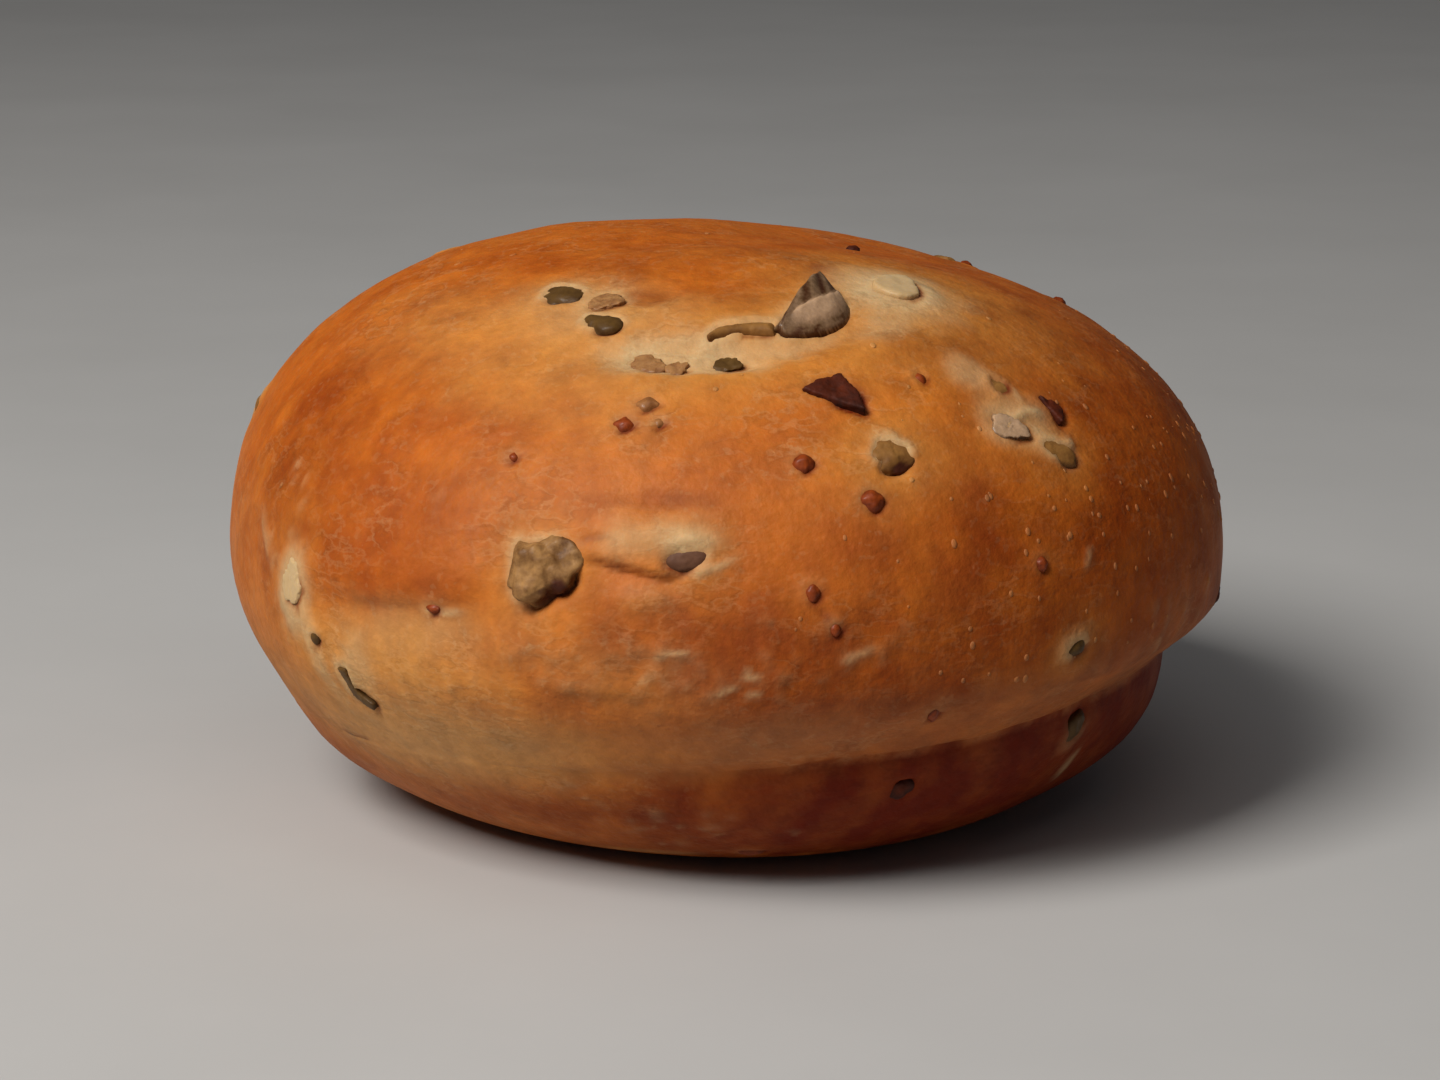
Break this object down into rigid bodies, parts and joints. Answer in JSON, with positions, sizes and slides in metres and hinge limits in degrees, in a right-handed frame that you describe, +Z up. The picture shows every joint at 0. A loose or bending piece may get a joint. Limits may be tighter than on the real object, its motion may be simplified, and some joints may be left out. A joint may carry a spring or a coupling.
{
  "type": "burger bun",
  "caption": "Round, domed burger bun with a browned crust, a pale belt round its waist and bits of green pepper, onion, dried chilli and mustard seed baked into it.",
  "frame": {"origin": "centre of the bounding box's bottom, under the middle of the bun on the surface it stands on", "axes": "+Z up through the crown; -Y towards the side with the large pepper chunk; +X to the right of that side"},
  "size_m": [0.0998, 0.1016, 0.0565],
  "materials": {
    "crust": "satin",
    "pepper": "satin",
    "pepper_dark": "satin",
    "onion": "satin",
    "chilli": "satin",
    "mustard": "satin"
  },
  "bodies": {
    "root": {"bun": "crust", "chilli_bit_base_front": "chilli", "chilli_bit_crown_back": "chilli", "chilli_bit_left": "chilli", "chilli_bit_side_right": "chilli", "chilli_shard_back": "chilli", "chilli_shard_front": "chilli", "chilli_skin_right": "chilli", "mustard_seed_back_1": "mustard", "mustard_seed_back_2": "mustard", "mustard_seed_back_3": "mustard", "mustard_seed_back_4": "mustard", "mustard_seed_back_5": "mustard", "mustard_seed_below_oval": "mustard", "mustard_seed_belt_front": "mustard", "mustard_seed_centre": "mustard", "mustard_seed_crease_left": "mustard", "mustard_seed_far_left": "mustard", "mustard_seed_flank_right": "mustard", "mustard_seed_foot_front": "mustard", "mustard_seed_left": "mustard", "mustard_seed_lower_1": "mustard", "mustard_seed_lower_2": "mustard", "mustard_seed_right": "mustard", "mustard_seed_upper_left_1": "mustard", "mustard_seed_upper_left_2": "mustard", "mustard_seed_upper_left_3": "mustard", "mustard_seed_upper_right": "mustard", "onion_flake_back": "onion", "onion_flake_back_right": "onion", "onion_flake_centre_left": "onion", "onion_flake_centre_right": "onion", "onion_flake_crown": "onion", "onion_flake_crown_right": "onion", "onion_flake_right": "onion", "onion_flake_side_left": "onion", "pepper_bit_belt_back": "pepper_dark", "pepper_bit_belt_right": "pepper_dark", "pepper_bit_left": "pepper", "pepper_bit_right": "pepper", "pepper_bit_side_left": "pepper_dark", "pepper_bit_side_right": "pepper_dark", "pepper_bit_slit": "pepper_dark", "pepper_chunk_back": "pepper", "pepper_chunk_front": "pepper", "pepper_flake_centre": "pepper_dark", "pepper_fold_crown": "pepper", "pepper_hook_left": "pepper_dark", "pepper_oval_back": "pepper", "pepper_oval_crown": "pepper_dark", "pepper_oval_front": "pepper", "pepper_oval_left": "pepper_dark", "pepper_skin_crown": "pepper_dark", "pepper_slice_right": "pepper", "pepper_strip_back": "pepper", "pepper_strip_crown": "pepper"}
  },
  "joints": []
}
